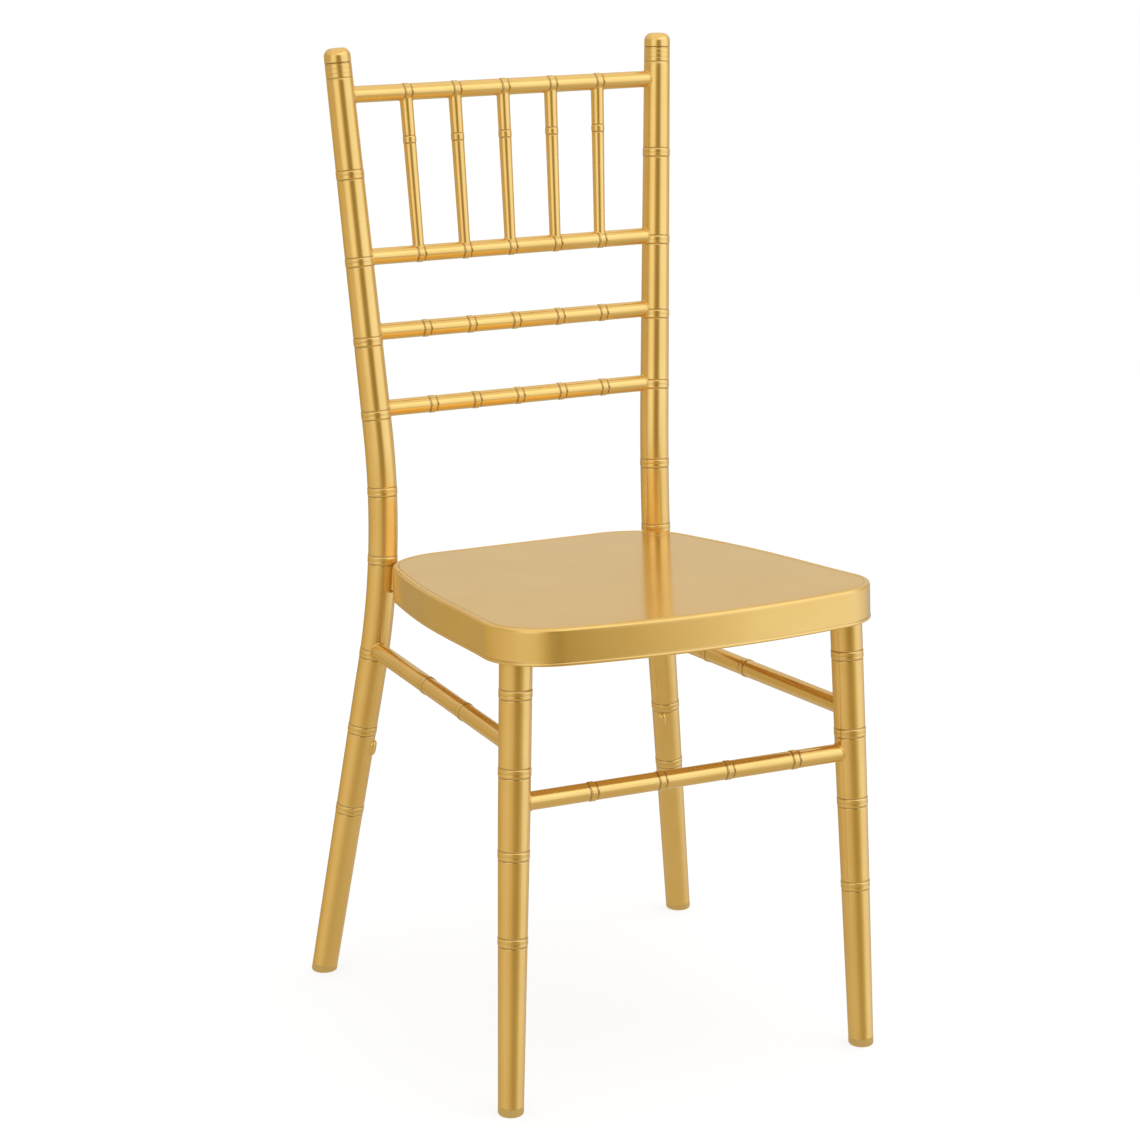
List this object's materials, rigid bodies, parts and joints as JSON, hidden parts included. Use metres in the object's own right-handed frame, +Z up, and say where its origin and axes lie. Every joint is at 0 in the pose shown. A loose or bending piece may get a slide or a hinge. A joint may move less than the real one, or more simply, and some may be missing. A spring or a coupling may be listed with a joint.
{
  "type": "chiavari chair",
  "caption": "Gold painted steel chiavari chair with bamboo-ringed tubes, spindle back and pressed sheet seat.",
  "frame": {"origin": "on the floor, under the middle of the chair's outline box", "axes": "+Z up, +Y to the chair's back, +X to the sitter's left"},
  "size_m": [0.4272, 0.4609, 0.92],
  "materials": {
    "gold_lacquer": "satin gold lacquer on steel tube",
    "seat_lacquer": "satin gold lacquer on pressed steel sheet",
    "glide_plastic": "gold coloured nylon"
  },
  "bodies": {
    "root": {"front_rung": "gold_lacquer", "left_back_glide": "glide_plastic", "left_back_post": "gold_lacquer", "left_front_glide": "glide_plastic", "left_front_leg": "gold_lacquer", "left_leg_bracket": "gold_lacquer", "left_post_cap": "gold_lacquer", "left_post_saddle": "gold_lacquer", "left_side_rung": "gold_lacquer", "left_stacking_bumper": "gold_lacquer", "lower_cross_rail": "gold_lacquer", "right_back_glide": "glide_plastic", "right_back_post": "gold_lacquer", "right_front_glide": "glide_plastic", "right_front_leg": "gold_lacquer", "right_leg_bracket": "gold_lacquer", "right_post_cap": "gold_lacquer", "right_post_saddle": "gold_lacquer", "right_side_rung": "gold_lacquer", "right_stacking_bumper": "gold_lacquer", "seat_back_crossbar": "gold_lacquer", "seat_front_crossbar": "gold_lacquer", "seat_pan": "seat_lacquer", "spindle_1": "gold_lacquer", "spindle_2": "gold_lacquer", "spindle_3": "gold_lacquer", "spindle_4": "gold_lacquer", "spindle_5": "gold_lacquer", "spindle_rail": "gold_lacquer", "top_rail": "gold_lacquer", "upper_cross_rail": "gold_lacquer"}
  },
  "joints": []
}
